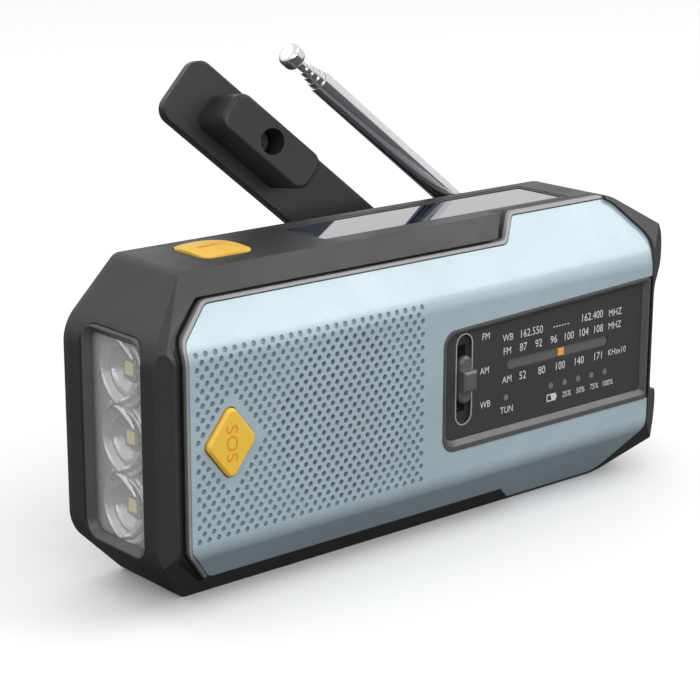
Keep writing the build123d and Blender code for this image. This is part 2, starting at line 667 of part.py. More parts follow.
# Hub frame: s along the arm, w across it, h rearward.  Arm frame: the same, lifted about the pin.
HUB_FRAME = Plane(origin=FOLD_PIN, x_dir=ARM_DIR, z_dir=REARWARD)
ARM_FRAME = Plane(origin=FOLD_PIN, x_dir=ARM_DIR * cos(LIFT) + REARWARD * sin(LIFT),
                  z_dir=REARWARD * cos(LIFT) - ARM_DIR * sin(LIFT))


def make_crank_hub():
    """Disc on the shaft with two ears for the fold pin."""
    disc = Pos(-FOLD_S, 0, (HUB_Y0 + HUB_Y1) / 2 - FOLD_Y) * Cylinder(HUB_R, HUB_Y1 - HUB_Y0)
    disc = chamfer(disc.edges().sort_by(Axis.Z)[-1:], 0.6)
    ear_h = HUB_Y1 - FOLD_Y
    ears = []
    for side in (-1, 1):
        w = side * 5.5
        ear = Pos(0, w, 0) * Rot(90, 0, 0) * Cylinder(1.9, 3.0)
        ears.append(ear + Pos(0, w, (ear_h - 0.1) / 2) * Box(3.8, 3.0, -ear_h + 0.1))
    hub = disc + union(ears)
    hub = hub & Pos(-FOLD_S, 0, 0) * Cylinder(HUB_R, 20)
    hub = hub - Rot(90, 0, 0) * Cylinder(0.8, 20)
    hub = hub - Pos(-FOLD_S, 0, -10 + HUB_Y1 - 0.8 - FOLD_Y) * Cylinder(SHAFT_R, 20)
    return HUB_FRAME * hub


def make_crank_hinge_pin():
    """Pin of the fold hinge."""
    return HUB_FRAME * Rot(90, 0, 0) * Cylinder(0.8, 13.6)


def make_crank_arm():
    """Flat handle with its hinge barrel, thinned inside and turned down at the tip."""
    half = ARM_THICK / 2
    face = outline([(ARM_START, -ARM_HALF_W), (ARM_END, -ARM_HALF_W), (ARM_END, ARM_HALF_W),
                    (ARM_START, ARM_HALF_W)], [1.5, 3.5, 3.5, 1.5])
    plate = extrude(Plane.XY.offset(-half) * face, amount=ARM_THICK)
    plate = chamfer(plate.faces().sort_by(Axis.Z)[0].edges(), 0.35)
    tongue = Pos(1.6, 0, 0) * Box(3.2, 7.6, 2.6) + Rot(90, 0, 0) * Cylinder(1.6, 7.6)
    arm = plate + tongue
    arm = arm - Rot(90, 0, 0) * Cylinder(0.8 + RUN, 20)
    arm = arm - Pos(KNOB_AT, 0, 0) * Cylinder(KNOB_SCREW_R, 10)
    lightening = Pos((ARM_START + KNOB_AT - KNOB_HALF_L) / 2 + 1, 0, half)
    return ARM_FRAME * (arm - lightening * Box(38, 9, 1.6))


def make_crank_knob():
    """Long finger knob that turns on the arm."""
    base = -ARM_THICK / 2 - 0.25
    top = -ARM_THICK / 2 - KNOB_TOP
    face = outline([(-KNOB_HALF_L, -KNOB_HALF_W), (KNOB_HALF_L, -KNOB_HALF_W), (KNOB_HALF_L, KNOB_HALF_W),
                    (-KNOB_HALF_L, KNOB_HALF_W)], 3.0)
    body = extrude(Plane.XY.offset(top) * face, amount=base - top)
    body = fillet(body.faces().sort_by(Axis.Z)[0].edges(), 0.9)
    neck_ring = extrude(Plane.XY.offset(base - 1.4) * (offset(face, amount=1) - offset(face, amount=-0.4)),
                        amount=0.5)
    body = body - neck_ring
    body = body - Pos(0, 0, top) * Cylinder(2.9, 16.0)
    body = body - Cylinder(KNOB_SCREW_R + RUN, 60)
    return ARM_FRAME * Pos(KNOB_AT, 0, 0) * body


def make_crank_knob_screw():
    """Shouldered screw that holds the knob."""
    head_h = -ARM_THICK / 2 - KNOB_TOP + 8.0
    shank_end = ARM_THICK / 2 - 0.2
    shank = Pos(0, 0, (head_h - 0.1 + shank_end) / 2) * Cylinder(KNOB_SCREW_R, shank_end - head_h + 0.1)
    head = Pos(0, 0, head_h - 0.55) * Cylinder(2.5, 1.0)
    slot = Pos(0, 0, head_h - 1.0) * (Box(3.2, 0.6, 0.8) + Box(0.6, 3.2, 0.8))
    return ARM_FRAME * Pos(KNOB_AT, 0, 0) * (shank + head - slot)


# ---------------------------------------------------------------- antenna
ANTENNA_DIR = turn(ANTENNA_ANGLE)
# Antenna frame: s along the tubes, w across, h rearward, origin on the swivel axis.
ANTENNA_FRAME = Plane(origin=(ANTENNA_X, ANTENNA_Y, ANTENNA_Z), x_dir=ANTENNA_DIR, z_dir=REARWARD)


def rod_s(radius, s0, s1):
    """Cylinder along the antenna axis."""
    return Pos((s0 + s1) / 2, 0, 0) * Rot(0, 90, 0) * Cylinder(radius, s1 - s0)


def make_antenna_swivel():
    """Round base that turns on the rear cover, with two cheeks for the knuckle."""
    base_h = UPPER_REAR_Y + 0.2 - ANTENNA_Y
    base = Pos(0, 0, base_h + 0.5) * Cylinder(5.0, 1.0)
    base = base - Cylinder(1.45 + RUN, 20)
    cheeks = []
    for side in (-1, 1):
        cheek = Pos(KNUCKLE_S, side * 2.05, 0) * Rot(90, 0, 0) * Cylinder(2.3, 1.0)
        foot = Pos(4.4, side * 2.05, (base_h + 1.6) / 2) * Box(3.6, 1.0, 1.6 - base_h)
        cheeks.append(cheek + foot)
    knuckle = union(cheeks) - Pos(KNUCKLE_S, 0, 0) * Rot(90, 0, 0) * Cylinder(0.7, 20)
    knuckle = knuckle & Pos(5, 0, base_h + 5) * Box(20, 20, 10)
    return ANTENNA_FRAME * (base + knuckle)


def make_antenna_rivet():
    """Rivet that holds the swivel base, headed inside and outside."""
    shank = rod_y(1.45, ANTENNA_X, ANTENNA_Z, 16.4, 20.5)
    head = rod_y(2.4, ANTENNA_X, ANTENNA_Z, 20.35, 20.9)
    return shank + head + rod_y(3.0, ANTENNA_X, ANTENNA_Z, 15.8, 17.3)


def make_antenna_tube(number):
    """One telescopic section; the first carries the knuckle tongue."""
    outer, inner, start, end = TUBES[number]
    tube = rod_s(outer, start, end)
    if inner:
        tube = tube - rod_s(inner, start + 1.0, end + 1)
    if number == 0:
        across = Pos(KNUCKLE_S, 0, 0) * Rot(90, 0, 0)
        tongue = across * Cylinder(1.4, 2.6) + Pos(7.6, 0, 0) * Box(3.2, 2.6, 3.4)
        tube = tube + tongue + across * Cylinder(0.7 - RUN, 5.0)
    return ANTENNA_FRAME * tube


def make_antenna_tip():
    """Mushroom button on the last section."""
    button = Pos(79.8, 0, 0) * Rot(0, 90, 0) * Cylinder(2.6, 3.6)
    button = fillet(button.edges(), 1.0)
    return ANTENNA_FRAME * (button - rod_s(1.05, 70, 78.0))


# ---------------------------------------------------------------- side controls and rear
def make_knob(z, radius):
    """Fluted thumbwheel on a shaft along X."""
    wheel = rod_x(radius, 66, 74.3, 8, z)
    flutes = []
    for i in range(24):
        angle = 2 * pi * i / 24
        flutes.append(rod_x(0.35, 65, 73.4, 8 + radius * cos(angle), z + radius * sin(angle)))
    return wheel - union(flutes) + rod_x(2.9, 58.5, 66.1, 8, z)


def make_control(z, half_y, half_z):
    """Rotary component behind a thumbwheel, with the bore its shaft turns in."""
    body = block(53, 62.2, 8 - half_y, 8 + half_y, z - half_z, z + half_z)
    return body - rod_x(2.9 + RUN, 58.2, 63, 8, z)


def make_rear_cover():
    """Rear shell with the knob pocket, door opening, port recess and bearing bosses."""
    plate = prism_y(BODY_FACE, SPLIT_Y + 0.05, REAR_Y)
    plate = chamfer(plate.faces().sort_by(Axis.Y)[-1].outer_wire().edges(), 1.1)
    plate = plate - block(-63, END + 1, UPPER_REAR_Y, REAR_Y + 1, 49.5, HEIGHT + 1)
    x0, x1, z0, z1 = KNOB_POCKET
    w = POCKET_WALL
    plate = plate + block(x0 - w, x1 + w, KNOB_POCKET_Y - w, SPLIT_Y + 0.1, z0 - w, z1 + w)
    bosses = [rod_y(6.0, CRANK_X, CRANK_Z, 15.8, SPLIT_Y + 0.1)]
    bosses.append(rod_y(2.5, IDLER_X, CRANK_Z, 15.5, SPLIT_Y + 0.1))
    bosses += [rod_y(3.2, x, z, 15.5, SPLIT_Y + 0.1) for x, z in SCREWS]
    plate = plate + union(bosses)
    x2, x3, z2, z3 = DOOR
    x4, x5, z4, z5 = PORT
    cuts = [prism_y(rounded_rect(x0, x1, z0, z1, 3), KNOB_POCKET_Y, REAR_Y + 1)]
    cuts.append(prism_y(rounded_rect(x2, x3, z2, z3, 1.5), 18.2, REAR_Y + 1))
    cuts.append(prism_y(rounded_rect(x2 + 1.5, x3 - 1.5, z2 + 1.5, z3 - 1.5, 1), SPLIT_Y - 1, REAR_Y))
    cuts.append(block(x4, x5, 18.6, REAR_Y + 1, z4, z5))
    cuts.append(block(x4 + 3.0, x4 + 8.2, 15, REAR_Y, z4 + 2.5, z5 - 2.5))
    cuts.append(block(x4 + 9.6, x5 - 2.2, 15, REAR_Y, z4 + 2.5, z5 - 2.5))
    cuts.append(rod_y(SHAFT_R + RUN, CRANK_X, CRANK_Z, 15, REAR_Y + 1))
    cuts.append(rod_y(1.0, IDLER_X, CRANK_Z, 15, 16.6))
    cuts.append(rod_y(1.45, ANTENNA_X, ANTENNA_Z, 17, REAR_Y + 1))
    cuts += [rod_y(1.5, x, z, 15, REAR_Y) for x, z in SCREWS]
    cuts += [rod_y(2.7, x, z, 17.3, REAR_Y + 1) for x, z in SCREWS]
    cuts.append(rod_y(5.6, ANTENNA_X, ANTENNA_Z, UPPER_REAR_Y, REAR_Y + 1))
    return plate - union(cuts)


def make_case_screws():
    """Six cross-head screws."""
    screws = []
    for x, z in SCREWS:
        screw = rod_y(1.05, x, z, 6, 17.4) + rod_y(2.4, x, z, 17.32, 18.8)
        level = block(x - 1.5, x + 1.5, 18.2, 19, z - 0.3, z + 0.3)
        upright = block(x - 0.3, x + 0.3, 18.2, 19, z - 1.5, z + 1.5)
        screws.append(screw - level - upright)
    return Compound(children=screws)


def make_battery_door():
    """Snap-off cover over the cell, with finger ribs."""
    x0, x1, z0, z1 = DOOR
    g = GAP
    door = prism_y(rounded_rect(x0 + g, x1 - g, z0 + g, z1 - g, 1.3), 18.25, REAR_Y)
    ribs = []
    for i in range(4):
        left = x1 - 9 + 1.6 * i
        ribs.append(block(left, left + 0.7, REAR_Y - 0.5, REAR_Y + 1, z0 + 4, z1 - 4))
    return door - union(ribs)


def make_usb_sockets():
    """Charging inlet and power outlet."""
    x0, x1, z0, z1 = PORT
    mid = (z0 + z1) / 2
    sockets = []
    for left, right, tall in ((x0 + 3.3, x0 + 7.9, 2.0), (x0 + 9.9, x1 - 2.5, 2.0)):
        shell = block(left, right, 9, 18.2, mid - tall, mid + tall)
        hollow = block(left + 0.5, right - 0.5, 11, 19, mid - tall + 0.5, mid + tall - 0.5)
        tongue = block(left + 1.2, right - 1.2, 10.9, 17, mid - 0.35, mid + 0.35)
        sockets.append(shell - hollow + tongue)
    return Compound(children=sockets)


def make_port_cover():
    """Rubber flap over the sockets, hinged along its left edge."""
    x0, x1, z0, z1 = PORT
    hinge_x = x0 + 0.95
    flap = block(hinge_x, x1 - 0.3, 18.7, REAR_Y, z0 + 0.3, z1 - 0.3)
    return flap + rod_z(0.65, hinge_x, (18.7 + REAR_Y) / 2, z0 + 0.3, z1 - 0.3)


# ---------------------------------------------------------------- write every sub-part
def main():
    """Build and write the sub-parts."""
    os.makedirs("parts", exist_ok=True)
    save("front_housing", make_front_housing())
    save("rear_cover", make_rear_cover())
    save("front_panel", make_front_panel())
    save("panel_trim", make_panel_trim())
    save("dial_frame", make_dial_frame())
    save("dial_plate", make_dial_plate())
    save("scale_strip", make_scale_strip())
    save("tuning_pointer", make_tuning_pointer())
    save("band_slider", make_band_slider())
    save("band_switch", make_band_switch())
    save("sos_button", make_sos_button())
    save("torch_button", make_torch_button())
    save("tact_switches", make_tact_switches())
    save("torch_bezel", make_torch_bezel())
    save("torch_lens", make_torch_lens())
    save("torch_reflector", make_torch_reflector())
    save("torch_leds", make_torch_leds())
    save("torch_board", make_torch_board())
    save("solar_frame", make_solar_frame())
    save("solar_cell", solar_plate(SOLAR_FLOOR_Z - 0.45, SOLAR_FLOOR_Z + 0.1, 0.6))
    save("solar_glass", solar_plate(SOLAR_FLOOR_Z + 0.15, HEIGHT - 0.25, 0.6))
    save("speaker_frame", make_speaker_frame())
    save("speaker_cone", make_speaker_cone())
    save("speaker_magnet", make_speaker_magnet())
    save("main_board", make_main_board())
    save("indicator_leds", make_indicator_leds())
    save("ferrite_rod", make_ferrite_rod())
    save("antenna_coil", make_antenna_coil())
    save("battery_cell", make_battery_cell())
    save("battery_door", make_battery_door())
    save("drive_gear", gear(DRIVE_TEETH, 0, CRANK_X, 13.2, 15.2, SHAFT_R))
    save("idler_gear", make_idler_gear())
    save("idler_pin", make_idler_pin())
    save("generator_rotor", make_generator_rotor())
    save("generator_can", make_generator_can())
    save("gearbox_plate", make_gearbox_plate())
    save("crank_shaft", make_crank_shaft())
    save("crank_hub", make_crank_hub())
    save("crank_hinge_pin", make_crank_hinge_pin())
    save("crank_arm", make_crank_arm())
    save("crank_knob", make_crank_knob())
    save("crank_knob_screw", make_crank_knob_screw())
    save("antenna_swivel", make_antenna_swivel())
    save("antenna_rivet", make_antenna_rivet())
    for number in range(len(TUBES)):
        save("antenna_tube_" + str(number + 1), make_antenna_tube(number))
    save("antenna_tip", make_antenna_tip())
    save("tuning_knob", make_knob(39.9, 6.2))
    save("tuning_capacitor", make_control(39.9, 6.5, 5.9))
    save("volume_knob", make_knob(27.6, 5.8))
    save("volume_control", make_control(27.6, 5.5, 5.2))
    save("case_screws", make_case_screws())
    save("usb_sockets", make_usb_sockets())
    save("port_cover", make_port_cover())


main()
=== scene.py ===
import math

import bmesh
import bpy
from mathutils import Matrix, Vector


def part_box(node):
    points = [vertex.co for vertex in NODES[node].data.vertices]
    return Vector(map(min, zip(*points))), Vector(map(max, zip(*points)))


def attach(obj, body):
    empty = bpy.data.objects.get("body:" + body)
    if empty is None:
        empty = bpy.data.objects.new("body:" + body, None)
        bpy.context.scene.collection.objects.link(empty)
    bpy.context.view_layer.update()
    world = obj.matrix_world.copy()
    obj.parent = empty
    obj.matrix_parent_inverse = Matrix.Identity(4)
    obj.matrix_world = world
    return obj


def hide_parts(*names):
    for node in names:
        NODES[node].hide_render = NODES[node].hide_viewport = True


# Emergency radio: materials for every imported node, printed dial, key symbols, lamp optics and
# small mouldings, on a pale studio floor.  Lengths are metres; the layouts of the dial, the key
# symbols and the torch are drawn in millimetres and multiplied by MM.

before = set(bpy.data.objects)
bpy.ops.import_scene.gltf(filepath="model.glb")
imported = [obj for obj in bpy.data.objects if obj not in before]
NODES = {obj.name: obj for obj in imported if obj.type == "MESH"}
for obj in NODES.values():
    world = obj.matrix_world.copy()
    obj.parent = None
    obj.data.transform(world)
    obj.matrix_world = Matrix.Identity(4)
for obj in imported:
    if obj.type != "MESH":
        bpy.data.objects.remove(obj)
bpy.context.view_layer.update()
MM = 0.001

# camera: viewing direction, its right-hand side, and its place and lens in millimetres
CAMERA_FORWARD = (0.6252, 0.7323, -0.2699)
CAMERA_RIGHT = (0.7611, -0.6486, 0.0034)
CAMERA_PLACE = (-285.5, -314.5, 159.3)
SENSOR_WIDTH = 36.0
FOCAL_LENGTH = 104.26

WORLD_STRENGTH = 0.95
HORIZON_COLOUR = (0.86, 0.865, 0.87)
ZENITH_COLOUR = (1.0, 1.0, 1.0)
SHEET_SIZE = 30.0
FLOOR_GREY = 0.93
# dark sheet under the floor that bounce and reflection rays see instead of the pale floor: painted shade on
# the case's lower faces
SHADE_SHEET_GREY = 0.10
SHADE_SHEET_Z = -4 * MM
# name, place, point aimed at, (width, height), watts
SOFT_BOXES = [
    ("key_box", (0.75, -0.55, 0.95), (0, 0, 0.03), (0.9, 0.5), 4.4),
    ("left_fill", (-0.9, -0.5, 0.7), (0, 0, 0.04), (0.5, 0.7), 1.6),
    ("front_fill", (-0.3, -1.2, 0.38), (0, 0, 0.03), (0.9, 0.5), 5.5),
    ("rear_strip", (-0.25, 0.9, 0.8), (0, 0, 0.06), (0.9, 0.35), 0.6),
]


# ------------------------------------------------------------------ camera, light and floor
def make_camera():
    """Long lens from the torch end, a little above the case."""
    forward = Vector(CAMERA_FORWARD).normalized()
    right = Vector(CAMERA_RIGHT)
    right = (right - forward * right.dot(forward)).normalized()
    up = right.cross(forward)
    data = bpy.data.cameras.new("studio_camera")
    data.sensor_width = SENSOR_WIDTH
    data.lens = FOCAL_LENGTH
    data.clip_start = 0.01
    camera = bpy.data.objects.new("studio_camera", data)
    bpy.context.collection.objects.link(camera)
    turn = Matrix((right, up, -forward)).transposed()
    camera.matrix_world = Matrix.Translation(Vector(CAMERA_PLACE) * MM) @ turn.to_4x4()
    bpy.context.scene.camera = camera


def area_light(name, place, target, size, watts):
    """Rectangular soft box aimed at a point."""
    data = bpy.data.lights.new(name, "AREA")
    data.shape = "RECTANGLE"
    data.size, data.size_y = size
    data.energy = watts
    light = bpy.data.objects.new(name, data)
    light.location = place
    light.rotation_euler = (Vector(target) - Vector(place)).to_track_quat("-Z", "Y").to_euler()
    bpy.context.collection.objects.link(light)


def stage_plane(name, height, grey):
    """Large gridded sheet of the set, level at a height."""
    place_at = (0, 0, height)
    bpy.ops.mesh.primitive_grid_add(x_subdivisions=8, y_subdivisions=8, size=SHEET_SIZE, location=place_at)
    sheet = bpy.context.object
    sheet.name = name
    nodes, shader = new_material(name + "_paper")
    sheet.data.materials.append(nodes["owner"])
    shader.inputs["Base Color"].default_value = (grey, grey, grey, 1)
    shader.inputs["Roughness"].default_value = 0.9
    return sheet


def make_world():
    """Soft sky, brighter overhead than towards the horizon."""
    world = bpy.data.worlds.new("studio_world")
    bpy.context.scene.world = world
    world.use_nodes = True
    tools = {"tree": world.node_tree}
    where = add(tools, "ShaderNodeTexCoord")
    split = add(tools, "ShaderNodeSeparateXYZ")
    link(tools, where.outputs["Generated"], split.inputs["Vector"])
    height = remap(tools, split.outputs["Z"], 0.0, 1.0, 0.0, 0.75)
    shade = mix(tools, height, HORIZON_COLOUR, ZENITH_COLOUR)
    background = world.node_tree.nodes["Background"]
    link(tools, shade, background.inputs["Color"])
    background.inputs["Strength"].default_value = WORLD_STRENGTH


def make_studio():
    """Pale floor that bounce rays pass through to a darker sheet under it, which paints shade on the case's
    lower faces, and soft boxes.
    """
    floor = stage_plane("studio_floor", 0.0, FLOOR_GREY)
    floor.visible_diffuse = False
    floor.visible_glossy = False
    # dark sheet below the floor: painted shade on the lower faces of the case
    stage_plane("studio_shade_sheet", SHADE_SHEET_Z, SHADE_SHEET_GREY)
    make_world()
    for soft_box in SOFT_BOXES:
        area_light(*soft_box)
    bpy.context.scene.view_settings.view_transform = "Standard"


# ------------------------------------------------------------------ material building blocks
# noise scales in 1/m, and the strengths shared by all the finishes
MOTTLE_SCALE = 45.0
SCUFF_SCALE = 320.0
GLOSS_SCALE = 110.0
MOTTLE_SHADE = 0.88
SCUFF_RANGE = (0.15, 0.6)
GRAIN_STRENGTH = 0.35
COAT_ROUGHNESS = 0.08
# cosine between the bevelled and the true normal: fully worn, and not worn
EDGE_WORN = 0.80
EDGE_CLEAN = 0.995


def new_material(name):
    """Empty node material; returns its tools and its Principled shader."""
    material = bpy.data.materials.new(name)
    material.use_nodes = True
    tree = material.node_tree
    return {"owner": material, "tree": tree}, tree.nodes["Principled BSDF"]


def add(tools, kind, **values):
    """Adds a node and sets its named properties."""
    node = tools["tree"].nodes.new(kind)
    for key, value in values.items():
        setattr(node, key, value)
    return node


def link(tools, source, target):
    """Links two sockets."""
    tools["tree"].links.new(source, target)


def coordinates(tools, stretch=(1, 1, 1)):
    """Object coordinates in metres, stretched for grain that runs one way."""
    where = add(tools, "ShaderNodeTexCoord")
    mapping = add(tools, "ShaderNodeMapping")
    mapping.inputs["Scale"].default_value = stretch
    link(tools, where.outputs["Object"], mapping.inputs["Vector"])
    return mapping.outputs["Vector"]


def noise(tools, scale, detail=2.0, stretch=(1, 1, 1)):
    """Noise value over the object."""
    node = add(tools, "ShaderNodeTexNoise")
    node.inputs["Scale"].default_value = scale
    node.inputs["Detail"].default_value = detail
    node.inputs["Roughness"].default_value = 0.5
    link(tools, coordinates(tools, stretch), node.inputs["Vector"])
    return node.outputs["Fac"]


def remap(tools, value, low, high, start=0.3, stop=0.7):
    """Maps a value between start and stop to a range."""
    node = add(tools, "ShaderNodeMapRange")
    node.inputs["From Min"].default_value = start
    node.inputs["From Max"].default_value = stop
    node.inputs["To Min"].default_value = low
    node.inputs["To Max"].default_value = high
    link(tools, value, node.inputs["Value"])
    return node.outputs["Result"]


def mix(tools, factor, first, second):
    """Colour blend; first and second are colours or sockets."""
    node = add(tools, "ShaderNodeMix", data_type="RGBA")
    link(tools, factor, node.inputs["Factor"])
    for socket, value in ((node.inputs[6], first), (node.inputs[7], second)):
        if isinstance(value, tuple):
            socket.default_value = (*value, 1)
        else:
            link(tools, value, socket)
    return node.outputs[2]


def edge_mask(tools, radius):
    """White along worn convex and concave edges, black on faces."""
    bevel = add(tools, "ShaderNodeBevel", samples=4)
    bevel.inputs["Radius"].default_value = radius
    normal = add(tools, "ShaderNodeNewGeometry")
    product = add(tools, "ShaderNodeVectorMath", operation="DOT_PRODUCT")
    link(tools, bevel.outputs["Normal"], product.inputs[0])
    link(tools, normal.outputs["Normal"], product.inputs[1])
    mask = remap(tools, product.outputs["Value"], 1.0, 0.0, EDGE_WORN, EDGE_CLEAN)
    return mask, bevel.outputs["Normal"]


def bump(tools, height, strength, distance, normal=None):
    """Bump node fed by a height socket."""
    node = add(tools, "ShaderNodeBump")
    node.inputs["Strength"].default_value = strength
    node.inputs["Distance"].default_value = distance
    link(tools, height, node.inputs["Height"])
    if normal is not None:
        link(tools, normal, node.inputs["Normal"])
    return node.outputs["Normal"]


def surface(name, colour, worn, rough, grain, edge=0.25 * MM, metallic=0.0, coat=0.0, specular=0.5,
            stretch=(1, 1, 1), depth=0.02 * MM):
    """General material: mottled colour, worn edges, uneven roughness and a fine bump.

    rough is (least, most); grain is the bump's noise scale in 1/m."""
    tools, shader = new_material(name)
    mask, soft_normal = edge_mask(tools, edge)
    patches = remap(tools, noise(tools, MOTTLE_SCALE, 4.0), 0.0, 1.0)
    darker = tuple(c * MOTTLE_SHADE for c in colour)
    base = mix(tools, patches, darker, colour)
    speck = noise(tools, grain, 3.0, stretch)
    base = mix(tools, remap(tools, speck, 0.0, 0.22), base, worn)
    scuff = add(tools, "ShaderNodeMath", operation="MULTIPLY")
    link(tools, mask, scuff.inputs[0])
    link(tools, remap(tools, noise(tools, SCUFF_SCALE, 3.0), *SCUFF_RANGE), scuff.inputs[1])
    base = mix(tools, scuff.outputs["Value"], base, worn)
    link(tools, base, shader.inputs["Base Color"])
    link(tools, remap(tools, noise(tools, GLOSS_SCALE, 5.0), *rough), shader.inputs["Roughness"])
    link(tools, bump(tools, speck, GRAIN_STRENGTH, depth, soft_normal), shader.inputs["Normal"])
    shader.inputs["Metallic"].default_value = metallic
    shader.inputs["Coat Weight"].default_value = coat
    shader.inputs["Coat Roughness"].default_value = COAT_ROUGHNESS
    shader.inputs["Specular IOR Level"].default_value = specular
    return tools["owner"]


def clear_plastic(name):
    """Clear moulded lens with faint flow marks, thin enough to pass light straight through."""
    tools, shader = new_material(name)
    shader.inputs["Alpha"].default_value = 0.13
    shader.inputs["IOR"].default_value = 1.49
    flow = noise(tools, 160.0, 2.0, (1, 1, 0.3))
    tint = mix(tools, flow, (0.93, 0.95, 0.96), (0.99, 0.99, 0.99))
    link(tools, tint, shader.inputs["Base Color"])
    link(tools, remap(tools, noise(tools, 600.0), 0.01, 0.04), shader.inputs["Roughness"])
    link(tools, bump(tools, flow, 0.08, 0.02 * MM), shader.inputs["Normal"])
    return tools["owner"]


def solar_material(name):
    """Dark blue cell under polished resin, with fine contact fingers."""
    tools, shader = new_material(name)
    wave = add(tools, "ShaderNodeTexWave", wave_type="BANDS", bands_direction="Y")
    wave.inputs["Scale"].default_value = 180.0
    link(tools, coordinates(tools), wave.inputs["Vector"])
    fingers = remap(tools, wave.outputs["Fac"], 0.0, 0.3, 0.93, 0.99)
    bars = add(tools, "ShaderNodeTexWave", wave_type="BANDS", bands_direction="X")
    bars.inputs["Scale"].default_value = 22.0
    link(tools, coordinates(tools), bars.inputs["Vector"])
    cells = remap(tools, bars.outputs["Fac"], 0.0, 0.2, 0.985, 0.999)
    crystal = mix(tools, noise(tools, 260.0, 2.0), (0.006, 0.010, 0.028), (0.014, 0.022, 0.055))
    lined = mix(tools, fingers, crystal, (0.05, 0.06, 0.09))
    link(tools, mix(tools, cells, lined, (0.16, 0.17, 0.19)), shader.inputs["Base Color"])
    link(tools, remap(tools, noise(tools, 70.0), 0.03, 0.07), shader.inputs["Roughness"])
    shader.inputs["IOR"].default_value = 1.9
    shader.inputs["Coat Weight"].default_value = 1.0
    shader.inputs["Coat IOR"].default_value = 1.9
    shader.inputs["Coat Roughness"].default_value = 0.02
    return tools["owner"]


BLACK = (0.030, 0.030, 0.032)
BLACK_WORN = (0.085, 0.085, 0.088)
MATERIALS = {
    "case": surface("case_black_plastic", BLACK, BLACK_WORN, (0.36, 0.46), 3800.0, specular=0.3),
    "rear": surface("rear_black_plastic", BLACK, BLACK_WORN, (0.42, 0.54), 2600.0, depth=0.04 * MM),
    "crank": surface("crank_black_plastic", (0.020, 0.020, 0.021), (0.06, 0.06, 0.062), (0.34, 0.44), 3800.0,
                     specular=0.4),
    "panel": surface("panel_blue_lacquer", (0.385, 0.490, 0.545), (0.52, 0.61, 0.66), (0.33, 0.41), 2400.0,
                     edge=0.12 * MM, metallic=0.12, coat=0.35, stretch=(0.25, 1, 1), depth=0.008 * MM),
    # panel trim: the rim's own dark grey lightened to mid grey as painted highlight of its lit sloped face
    "trim": surface("trim_grey_painted_highlight", (0.24, 0.235, 0.23), (0.5, 0.5, 0.5), (0.28, 0.36), 3000.0),
    "dial_frame": surface("dial_frame_plastic", (0.075, 0.075, 0.077), (0.16, 0.16, 0.16), (0.30, 0.40),
                          4000.0),
    "dial": surface("dial_plate_plastic", (0.042, 0.042, 0.044), (0.07, 0.07, 0.07), (0.30, 0.38), 4200.0,
                    edge=0.08 * MM),
    "scale": surface("scale_strip_plastic", (0.11, 0.11, 0.11), (0.2, 0.2, 0.2), (0.3, 0.4), 2500.0),
    "pointer": surface("pointer_orange_plastic", (0.85, 0.36, 0.05), (0.95, 0.6, 0.3), (0.2, 0.3), 1500.0,
                       edge=0.1 * MM),
    "key": surface("key_yellow_plastic", (0.83, 0.50, 0.045), (0.90, 0.66, 0.18), (0.36, 0.46), 3600.0),
    "chrome": surface("antenna_chrome", (0.80, 0.81, 0.82), (0.95, 0.95, 0.95), (0.05, 0.10), 900.0,
                      edge=0.1 * MM, metallic=1.0, depth=0.002 * MM),
    "mirror": surface("reflector_satin_chrome", (0.60, 0.60, 0.61), (0.92, 0.92, 0.92), (0.20, 0.32), 900.0,
                      edge=0.2 * MM, metallic=0.6, depth=0.004 * MM),
    "slider": surface("slider_grey_plastic", (0.085, 0.085, 0.088), (0.22, 0.22, 0.22), (0.30, 0.40), 3000.0,
                      edge=0.2 * MM),
    "blade": surface("blade_bright_chrome", (0.88, 0.88, 0.89), (0.98, 0.98, 0.98), (0.10, 0.18), 700.0,
                     edge=0.1 * MM, metallic=0.85, depth=0.002 * MM),
    "outline": surface("outline_grey_plastic", (0.34, 0.34, 0.34), (0.5, 0.5, 0.5), (0.25, 0.35), 3000.0,
                       edge=0.05 * MM),
    "steel": surface("plated_steel", (0.48, 0.48, 0.47), (0.75, 0.75, 0.74), (0.25, 0.40), 1800.0,
                     edge=0.15 * MM, metallic=1.0),
    "nylon": surface("gear_nylon", (0.74, 0.72, 0.64), (0.86, 0.85, 0.8), (0.38, 0.5), 1500.0),
    "paper": surface("cone_paper", (0.035, 0.035, 0.035), (0.07, 0.07, 0.07), (0.75, 0.9), 1400.0),
    "board": surface("board_resist", (0.02, 0.13, 0.06), (0.10, 0.26, 0.12), (0.3, 0.4), 900.0),
    "component": surface("component_resin", (0.03, 0.03, 0.03), (0.09, 0.09, 0.09), (0.45, 0.6), 2000.0),
    "lamp": surface("lamp_resin", (0.16, 0.16, 0.16), (0.3, 0.3, 0.3), (0.25, 0.35), 1500.0, edge=0.1 * MM),
    "led": surface("led_phosphor", (0.88, 0.80, 0.42), (0.95, 0.93, 0.8), (0.3, 0.4), 1500.0),
    "copper": surface("coil_copper", (0.65, 0.30, 0.12), (0.85, 0.5, 0.3), (0.3, 0.42), 4000.0, metallic=0.9,
                      stretch=(6, 1, 1)),
    "ferrite": surface("rod_ferrite", (0.05, 0.05, 0.052), (0.12, 0.12, 0.12), (0.55, 0.7), 1500.0),
    "cell": surface("cell_sleeve", (0.06, 0.20, 0.42), (0.2, 0.36, 0.55), (0.22, 0.32), 900.0),
    "rubber": surface("flap_rubber", (0.030, 0.030, 0.030), (0.06, 0.06, 0.06), (0.62, 0.78), 2200.0),
    "lens": clear_plastic("lens_clear_plastic"),
    "solar": solar_material("solar_resin"),
    "ink": surface("dial_ink", (0.62, 0.62, 0.63), (0.75, 0.75, 0.75), (0.5, 0.6), 3000.0, edge=0.02 * MM),
    # key symbols: darker orange on raised strokes, painted shade of the engraved grooves on the keys
    "key_groove_shade": surface("key_symbol_orange_painted_groove_shade", (0.72, 0.27, 0.02), (0.8, 0.4, 0.1), (0.4, 0.5), 3000.0,
                       edge=0.02 * MM),
}

